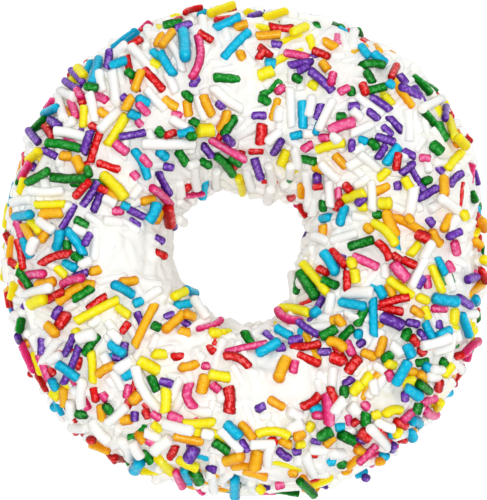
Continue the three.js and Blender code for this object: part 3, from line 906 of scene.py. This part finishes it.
def lay_placed_rods(pile):
    for entry in sum(REGIONS, []):
        colour, x0, y0, x1, y1, bow, width = (*entry, 0, None)[:7]
        rod = Rod(colour, 1.0, PLACED_SINK, np.random.default_rng([SEED, x0, y0, x1, y1]))
        if width is not None:
            rod.radius = width * MM_PER_PIXEL / 2
        bow = (rod.bow, bow * MM_PER_PIXEL)
        tips = np.array([[x0, y0], [x1, y1]], float)
        middle = pile.icing.on_ray(*tips.mean(0), 0)
        if pile.icing.nearest(middle)[1] @ -AHEAD > FACING:
            rod = lay_in_view(pile, rod, tips, middle, bow)
        else:
            rod = lay_by_steps(pile, rod, tips, bow)
        pile.add(rod, FIRM)


def fill_gaps(pile, rng):
    """Lays short rods where nothing lies yet, outside the bare patches."""
    icing = pile.icing
    for i, j in icing.seats(icing.area() * ~icing.bare, FILL_TRIES, rng):
        seat, normal = icing.points[i, j], icing.normals[i, j]
        if len(pile.balls_near(seat, FILL_CLEAR)):
            continue
        length = any_length(FILLING_LENGTHS, rng)
        rod = Rod(any_colour(rng, icing.seen[i, j]), length, SEEN_SINK, rng)
        best = pile.lowest_rest(rod, seat, normal, rng)
        if best is not None and best[0] < SUNK_HEIGHT:
            height, slope, middle, axis = best
            rod.settle(middle, axis, normal, height, slope)
            pile.add(rod, SOFT)


# ---- Meshes ----
def new_mesh(name, points, faces, uv):
    """A smooth piece of quads and triangles. uv holds one place for each corner, in the faces' order."""
    mesh = bpy.data.meshes.new(name)
    mesh.vertices.add(len(points))
    mesh.vertices.foreach_set("co", (points * MM).astype(np.float32).ravel())
    sizes = np.concatenate([np.full(len(block), block.shape[1]) for block in faces])
    corners = np.concatenate([block.ravel() for block in faces])
    starts = np.concatenate([[0], np.cumsum(sizes)[:-1]])
    mesh.loops.add(len(corners))
    mesh.loops.foreach_set("vertex_index", corners.astype(np.int32))
    mesh.polygons.add(len(sizes))
    mesh.polygons.foreach_set("loop_start", starts.astype(np.int32))
    mesh.polygons.foreach_set("use_smooth", np.ones(len(sizes), bool))
    layer = mesh.uv_layers.new(name="OFBake")
    layer.data.foreach_set("uv", uv.astype(np.float32).ravel())
    mesh.update(calc_edges=True)
    mesh.validate()
    piece = bpy.data.objects.new(name, mesh)
    bpy.context.scene.collection.objects.link(piece)
    return piece


def ring_piece(name, points, strips=2, margin=0.004):
    """A closed ring of quads. Its map is cut into strips, each a share of the way round."""
    rings, steps = points.shape[:2]
    i = np.repeat(np.arange(rings), steps)
    j = np.tile(np.arange(steps), rings)
    per_strip = rings // strips
    strip = i // per_strip
    u0 = (i - strip * per_strip) / per_strip
    v0 = j / steps
    u = np.stack([u0, u0 + 1 / per_strip, u0 + 1 / per_strip, u0], axis=1)
    v = np.stack([v0, v0, v0 + 1 / steps, v0 + 1 / steps], axis=1)
    u = margin + u * (1 - 2 * margin)
    v = (strip[:, None] + margin + v * (1 - 2 * margin)) / strips
    uv = np.stack([u, v], axis=-1).reshape(-1, 2)
    return new_mesh(name, points.reshape(-1, 3), [grid_quads(rings, steps)], uv)


def rod_profile(rod, body_rings):
    """Distance along the rod and share of its radius, for each of its rings."""
    half = rod.length / 2
    inner = half - rod.cap
    cap = half - (1 - np.sin(CAP_ANGLES)) * rod.cap
    width = np.cos(CAP_ANGLES) ** CAP_FULLNESS
    body = np.linspace(-inner, inner, body_rings)
    along = np.concatenate([-cap, body, cap[::-1]])
    share = np.concatenate([width, np.ones(body_rings), width[::-1]])
    return along, share


def rod_points(rod, body_rings):
    """The points of a rod's rings, then its two tips."""
    along, share = rod_profile(rod, body_rings)
    half = rod.length / 2
    angle = np.linspace(0, 2 * np.pi, ROD_SIDES, endpoint=False)[None, :]
    at = along[:, None]
    turn = rod.turns
    lump = 1 + NECKING * np.sin(NECKING_PACE * at + turn[0]) + rod.lumps[: len(along)]
    lump = lump + OVAL * np.cos(2 * angle + turn[1]) + TWIST * np.sin(3 * angle + TWIST_PACE * at + turn[2])
    radius = rod.radius * share[:, None] * lump
    to_end = np.clip(np.abs(at) / half * 2 - 1, 0, 1) ** 2 * np.sign(at)
    at = at + to_end * rod.slant * radius * np.cos(angle + turn[3])
    tangent = rod.axis - (8 * rod.bow * along / rod.length**2)[:, None] * rod.side
    tangent = tangent / np.linalg.norm(tangent, axis=1, keepdims=True)
    top = np.cross(rod.axis, rod.side)
    out = np.cross(top, tangent)
    bow = rod.bow * (1 - (2 * at / rod.length) ** 2)
    line = rod.middle + at[..., None] * rod.axis + bow[..., None] * rod.side
    ring = np.cos(angle)[..., None] * out[:, None] + np.sin(angle)[..., None] * top
    body = (line + radius[..., None] * ring).reshape(-1, 3)
    tips = [rod.middle + sign * half * rod.axis for sign in (-1, 1)]
    return np.concatenate([body, tips])


def rod_faces(body_rings):
    """Quads and end triangles of one rod, and the place of each corner in the rod's cell of the map."""
    rings = 2 * len(CAP_ANGLES) + body_rings
    ring = np.repeat(np.arange(rings - 1), ROD_SIDES)
    side = np.tile(np.arange(ROD_SIDES), rings - 1)
    a = ring * ROD_SIDES + side
    b = ring * ROD_SIDES + (side + 1) % ROD_SIDES
    quads = np.stack([a, b, b + ROD_SIDES, a + ROD_SIDES], axis=1)
    quad_u = (ring[:, None] + [1, 1, 2, 2]) / (rings + 1)
    quad_v = (side[:, None] + [0, 1, 1, 0]) / ROD_SIDES
    side = np.arange(ROD_SIDES)
    beside = (side + 1) % ROD_SIDES
    last = (rings - 1) * ROD_SIDES
    first_tip = np.full(ROD_SIDES, rings * ROD_SIDES)
    start = np.stack([beside, side, first_tip], axis=1)
    end = np.stack([last + side, last + beside, first_tip + 1], axis=1)
    start_u = np.tile(np.array([1, 1, 0]) / (rings + 1), (ROD_SIDES, 1))
    start_v = (side[:, None] + [1, 0, 0.5]) / ROD_SIDES
    end_v = (side[:, None] + [0, 1, 0.5]) / ROD_SIDES
    quad_uv = np.stack([quad_u, quad_v], axis=-1)
    start_uv = np.stack([start_u, start_v], axis=-1)
    end_uv = np.stack([1 - start_u, end_v], axis=-1)
    return quads, np.concatenate([start, end]), quad_uv, np.concatenate([start_uv, end_uv])


def rods_piece(name, rods, body_rings, inset=0.05, columns_to_rows=0.7):
    """All rods of one colour as one mesh, with a cell of the map for each."""
    quads, triangles, quad_uv, triangle_uv = rod_faces(body_rings)
    points = np.stack([rod_points(rod, body_rings) for rod in rods])
    count, each = points.shape[:2]
    shift = (np.arange(count) * each)[:, None, None]
    columns = int(np.ceil(np.sqrt(count * columns_to_rows)))
    cell = np.array([1 / columns, 1 / np.ceil(count / columns)])
    corner = np.stack([np.arange(count) % columns, np.arange(count) // columns], axis=1) * cell
    blocks = []
    for uv in (quad_uv, triangle_uv):
        placed = corner[:, None, None] + (inset + uv[None] * (1 - 2 * inset)) * cell
        blocks.append(placed.reshape(-1, 2))
    faces = [(quads[None] + shift).reshape(-1, 4), (triangles[None] + shift).reshape(-1, 3)]
    piece = new_mesh(name, points.reshape(-1, 3), faces, np.concatenate(blocks))
    add_values(piece, "tone", np.repeat([rod.tone for rod in rods], each))
    # Each point's share of painted light: the rod's top is painted lighter and its flanks painted darker,
    # as painted shade.
    add_values(piece, "painted_top_light", np.tile(painted_top_light_values(body_rings), count))
    return piece


def painted_top_light_values(body_rings):
    """How much each point of a rod lies on its upper side, 0 to 1. The colour is painted lighter there, as
    painted light, and darker on the flanks, as painted shade.
    """
    around = np.maximum(np.sin(np.linspace(0, 2 * np.pi, ROD_SIDES, endpoint=False)), 0) ** 2
    return np.concatenate([np.tile(around, body_rings + 2 * len(CAP_ANGLES)), [0.5, 0.5]])


def add_values(piece, name, values):
    attribute = piece.data.attributes.new(name, "FLOAT", "POINT")
    attribute.data.foreach_set("value", values.astype(np.float32))


# ---- Materials ----
# A rod's colour goes from dark to light with the rod's own tone, the grain and most of all its upper side:
# painted light on the top and painted shade on the flanks.
ROD_ROUGHNESS = 0.22
ROD_GRAIN = (1700, 3)  # here and below, a noise's scale for each metre and its detail
TONE_SHARE = 0.2
GRAIN_SHARE = 0.25
DARK_LEVEL = 0.28
LIGHT_LEVEL = 0.76
GLOSS = {
    WHITE: 0.2,
    RED: 0.2,
    ORANGE: 0.2,
    YELLOW: 0.2,
    GREEN: 0.12,
    BLUE: 0.15,
    PURPLE: 0.25,
    PINK: 0.25,
}
# Strength and depth in mm of the grain on a rod: the light colours are smoother.
GRAIN = {
    WHITE: (0.5, 0.1),
    RED: (1.0, 0.12),
    ORANGE: (0.8, 0.06),
    YELLOW: (0.8, 0.05),
    GREEN: (1.0, 0.14),
    BLUE: (0.8, 0.07),
    PURPLE: (1.0, 0.14),
    PINK: (1.0, 0.1),
}
# Painted glints, highlights lightened into the colour, show where the grain is high and more so on the
# upper
# side: the level where they begin to show, the level where they show fully, and their colours.
GLINT_PAINT_ON_TOP = 0.4
GLINT_PAINT_FROM = 0.8
GLINT_PAINT_FULL = 1.1
GLINT_PAINT = {
    WHITE: (0.96, 0.955, 0.94),
    RED: (0.95, 0.2, 0.2),
    ORANGE: (0.94, 0.56, 0.06),
    YELLOW: (0.94, 0.86, 0.1),
    GREEN: (0.09, 0.46, 0.12),
    BLUE: (0.05, 0.62, 0.85),
    PURPLE: (0.42, 0.26, 0.75),
    PINK: (0.95, 0.36, 0.54),
}
# How much light goes into the sugar, and how deep in mm.
DEPTH = {
    WHITE: (0.1, 0.35),
    RED: (0.1, 0.4),
    ORANGE: (0.3, 0.7),
    YELLOW: (0.3, 0.7),
    GREEN: (0.05, 0.3),
    BLUE: (0.15, 0.5),
    PURPLE: (0.05, 0.3),
    PINK: (0.15, 0.5),
}
REACH_OF_LIGHT = (1.0, 0.9, 0.8)  # of red, green and blue in the sugar, as shares of that depth
# From dark to light: the rods' own tones, with the dark ends also serving as painted shade on the flanks
# and the light ends as painted light on top.
SPRINKLE_TONES = {
    WHITE: [(0.935, 0.932, 0.89), (0.967, 0.967, 0.942)],
    RED: [(0.36, 0.0005, 0.001), (0.79, 0.002, 0.004)],
    ORANGE: [(0.74, 0.25, 0.002), (0.95, 0.5, 0.007)],
    YELLOW: [(0.83, 0.64, 0.001), (0.96, 0.88, 0.008)],
    GREEN: [(0.0003, 0.075, 0.003), (0.001, 0.25, 0.013)],
    BLUE: [(0.001, 0.26, 0.45), (0.001, 0.51, 0.77)],
    PURPLE: [(0.045, 0.005, 0.165), (0.16, 0.034, 0.44)],
    PINK: [(0.53, 0.003, 0.08), (0.77, 0.024, 0.18), (0.85, 0.09, 0.3)],
}
ICING_ROUGHNESS = 0.45
ICING_CLOUD = (160, 4)
ICING_TONES = [(0.3, (0.925, 0.92, 0.875)), (0.7, (0.945, 0.943, 0.905))]
ICING_SKIN = (700, 3)
ICING_RELIEF = (0.25, 0.15)  # here and below, strength and depth in mm
ICING_DEPTH = (0.1, 0.5)
DOUGH_ROUGHNESS = 0.6
DOUGH_CLOUD = (150, 5)
DOUGH_CRUMB = (900, 5)
CLOUD_SHARE = 0.6
CRUMB_SHARE = 0.4
PALER_AT_WAIST = 0.2  # how much lighter the dough is at its waist than at its underside
DOUGH_TONES = [
    (0.42, (0.24, 0.085, 0.02)),
    (0.54, (0.4, 0.175, 0.048)),
    (0.64, (0.54, 0.28, 0.095)),
    (0.76, (0.7, 0.45, 0.2)),
]
DOUGH_RELIEF = (1.0, 0.5)


def new_material(name, roughness):
    material = bpy.data.materials.new(name)
    material.use_nodes = True
    tree = material.node_tree
    shader = tree.nodes["Principled BSDF"]
    shader.inputs["Roughness"].default_value = roughness
    return material, tree, shader


def object_place(tree):
    return tree.nodes.new("ShaderNodeTexCoord").outputs["Object"]


def mesh_value(tree, name):
    node = tree.nodes.new("ShaderNodeAttribute")
    node.attribute_name = name
    return node.outputs["Fac"]


def noise(tree, place, scale, detail):
    node = tree.nodes.new("ShaderNodeTexNoise")
    node.inputs["Scale"].default_value = scale
    node.inputs["Detail"].default_value = detail
    tree.links.new(place, node.inputs["Vector"])
    return node.outputs["Fac"]


def scaled(tree, value, factor):
    node = tree.nodes.new("ShaderNodeMath")
    node.operation = "MULTIPLY"
    tree.links.new(value, node.inputs[0])
    node.inputs[1].default_value = factor
    return node.outputs[0]


def multiply_add(tree, value, factor, added):
    node = tree.nodes.new("ShaderNodeMath")
    node.operation = "MULTIPLY_ADD"
    tree.links.new(value, node.inputs[0])
    node.inputs[1].default_value = factor
    tree.links.new(added, node.inputs[2])
    return node.outputs[0]


def colour_ramp(tree, shader, factor, stops):
    """Gives the shader a colour that follows factor through stops of (place, colour), in rising order."""
    node = tree.nodes.new("ShaderNodeValToRGB")
    elements = node.color_ramp.elements
    elements[0].position, elements[-1].position = stops[0][0], stops[-1][0]
    elements[0].color, elements[-1].color = (*stops[0][1], 1), (*stops[-1][1], 1)
    for place, colour in stops[1:-1]:
        elements.new(place).color = (*colour, 1)
    tree.links.new(factor, node.inputs["Fac"])
    tree.links.new(node.outputs["Color"], shader.inputs["Base Color"])
    return node.outputs["Color"]


def paint_glints(tree, shader, body, grain, glint_colour):
    """Paints highlights: lightens the highest spots of the grain, as glints of light on the sugar."""
    level = tree.nodes.new("ShaderNodeMapRange")
    level.inputs["From Min"].default_value = GLINT_PAINT_FROM
    level.inputs["From Max"].default_value = GLINT_PAINT_FULL
    tree.links.new(grain, level.inputs["Value"])
    blend = tree.nodes.new("ShaderNodeMix")
    blend.data_type = "RGBA"
    tree.links.new(level.outputs["Result"], blend.inputs["Factor"])
    tree.links.new(body, blend.inputs["A"])
    blend.inputs["B"].default_value = (*glint_colour, 1)
    tree.links.new(blend.outputs["Result"], shader.inputs["Base Color"])


def relief(tree, shader, height, strength, depth_mm):
    node = tree.nodes.new("ShaderNodeBump")
    node.inputs["Strength"].default_value = strength
    node.inputs["Distance"].default_value = depth_mm * MM
    tree.links.new(height, node.inputs["Height"])
    tree.links.new(node.outputs["Normal"], shader.inputs["Normal"])


def soften(shader, weight, depth_mm):
    """Lets light into the sugar."""
    shader.inputs["Subsurface Weight"].default_value = weight
    shader.inputs["Subsurface Radius"].default_value = REACH_OF_LIGHT
    shader.inputs["Subsurface Scale"].default_value = depth_mm * MM


def sprinkle_material(colour, tones):
    material, tree, shader = new_material("sprinkle_" + colour, ROD_ROUGHNESS)
    shader.inputs["Specular IOR Level"].default_value = GLOSS[colour]
    place = object_place(tree)
    painted_top_light = mesh_value(tree, "painted_top_light")
    grain = noise(tree, place, *ROD_GRAIN)
    mixed = multiply_add(tree, mesh_value(tree, "tone"), TONE_SHARE, scaled(tree, grain, GRAIN_SHARE))
    # Most of the ramp follows the upper side: painted light on top, painted shade on the flanks.
    mixed = multiply_add(tree, painted_top_light, 1 - TONE_SHARE - GRAIN_SHARE, mixed)
    steps = np.linspace(DARK_LEVEL, LIGHT_LEVEL, len(tones))
    body = colour_ramp(tree, shader, mixed, list(zip(steps.tolist(), tones)))
    # Painted highlights: glints lightened into the colour where the grain is high, most along the top.
    paint_glints(tree, shader, body, multiply_add(tree, painted_top_light, GLINT_PAINT_ON_TOP, grain), GLINT_PAINT[colour])
    relief(tree, shader, grain, *GRAIN[colour])
    soften(shader, *DEPTH[colour])
    return material


def icing_material():
    material, tree, shader = new_material("icing_look", ICING_ROUGHNESS)
    place = object_place(tree)
    cloud = noise(tree, place, *ICING_CLOUD)
    colour_ramp(tree, shader, cloud, ICING_TONES)
    relief(tree, shader, noise(tree, place, *ICING_SKIN), *ICING_RELIEF)
    soften(shader, *ICING_DEPTH)
    return material


def dough_material():
    material, tree, shader = new_material("dough_look", DOUGH_ROUGHNESS)
    place = object_place(tree)
    split = tree.nodes.new("ShaderNodeSeparateXYZ")
    tree.links.new(place, split.inputs[0])
    cloud = noise(tree, place, *DOUGH_CLOUD)
    crumb = noise(tree, place, *DOUGH_CRUMB)
    level = scaled(tree, split.outputs["Z"], PALER_AT_WAIST / (WAIST_HEIGHT * MM))
    level = multiply_add(tree, cloud, CLOUD_SHARE, level)
    level = multiply_add(tree, crumb, CRUMB_SHARE, level)
    colour_ramp(tree, shader, level, DOUGH_TONES)
    relief(tree, shader, crumb, *DOUGH_RELIEF)
    return material


# ---- Stage ----
BRIGHT_SIDE = (0.45, 0.6, 0.5)
BRIGHT_LIGHT = 0.77
SHADE_LIGHT = 0.36
FLOOR_GAP = 0.1  # keeps the floor clear of the dough's flat underside
FLOOR_SIZE = 3.0  # here and below, in metres
FLOOR_ROUGHNESS = 0.9
FLOOR_GREY = 0.08
FLOOR_GLOW = 0.97
BOUNCES = 10
LAMP_PLACE = (0, -0.19, 0.89)
LAMP_AIM = (0, 0, 0.01)
LAMP_SIZE = 0.12
LAMP_POWER = 3.7


def add_stage():
    mesh = bpy.data.meshes.new("floor")
    low = -FLOOR_GAP * MM
    corners = [(x * FLOOR_SIZE, y * FLOOR_SIZE, low) for x, y in ((-1, -1), (1, -1), (1, 1), (-1, 1))]
    mesh.from_pydata(corners, [], [(0, 1, 2, 3)])
    floor = bpy.data.objects.new("floor", mesh)
    bpy.context.scene.collection.objects.link(floor)
    material, _, shader = new_material("floor_look", FLOOR_ROUGHNESS)
    shader.inputs["Base Color"].default_value = (FLOOR_GREY, FLOOR_GREY, FLOOR_GREY, 1)
    shader.inputs["Emission Color"].default_value = (1, 1, 1, 1)
    shader.inputs["Emission Strength"].default_value = FLOOR_GLOW
    mesh.materials.append(material)
    bpy.context.scene.world = studio_world()
    bpy.context.scene.cycles.diffuse_bounces = BOUNCES
    add_lamp("front")


def studio_world():
    """Light all round, brighter from the right and from behind."""
    world = bpy.data.worlds.new("studio")
    world.use_nodes = True
    tree = world.node_tree
    towards = tree.nodes.new("ShaderNodeVectorMath")
    towards.operation = "DOT_PRODUCT"
    tree.links.new(tree.nodes.new("ShaderNodeTexCoord").outputs["Generated"], towards.inputs[0])
    towards.inputs[1].default_value = Vector(BRIGHT_SIDE).normalized()
    level = tree.nodes.new("ShaderNodeMapRange")
    level.inputs["From Min"].default_value = -1
    level.inputs["To Min"].default_value = SHADE_LIGHT
    level.inputs["To Max"].default_value = BRIGHT_LIGHT
    tree.links.new(towards.outputs["Value"], level.inputs["Value"])
    tree.links.new(level.outputs["Result"], tree.nodes["Background"].inputs["Strength"])
    tree.nodes["Background"].inputs["Color"].default_value = (1, 1, 1, 1)
    return world


def add_lamp(name):
    data = bpy.data.lights.new(name, "AREA")
    data.shape = "SQUARE"
    data.size = LAMP_SIZE
    data.energy = LAMP_POWER
    lamp = bpy.data.objects.new(name, data)
    bpy.context.scene.collection.objects.link(lamp)
    lamp.location = LAMP_PLACE
    lamp.rotation_euler = (Vector(LAMP_AIM) - Vector(LAMP_PLACE)).to_track_quat("-Z", "Y").to_euler()


def main():
    add_camera()
    rng = np.random.default_rng(SEED)
    points = icing_grid()
    shift = in_frame(points)
    dough = ring_piece("dough", dough_grid() + shift)
    dough.data.materials.append(dough_material())
    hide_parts("dough_ring")
    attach(dough, "root")
    icing = Icing(points + shift, rng)
    pile = Pile(icing)
    lay_sunk_rods(pile, rng)
    lay_placed_rods(pile)
    fill_gaps(pile, rng)
    icing.creep_up(pile)
    coat = ring_piece("icing_coat", icing.points)
    coat.data.materials.append(icing_material())
    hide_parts("icing")
    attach(coat, "root")
    for colour, tones in SPRINKLE_TONES.items():
        rods = [rod for rod in pile.rods if rod.colour == colour]
        piece = rods_piece("sprinkles_" + colour, rods, WHITE_BODY_RINGS if colour == WHITE else BODY_RINGS)
        piece.data.materials.append(sprinkle_material(colour, tones))
        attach(piece, "root")
    add_stage()


bpy.context.scene.view_settings.view_transform = "Standard"
main()
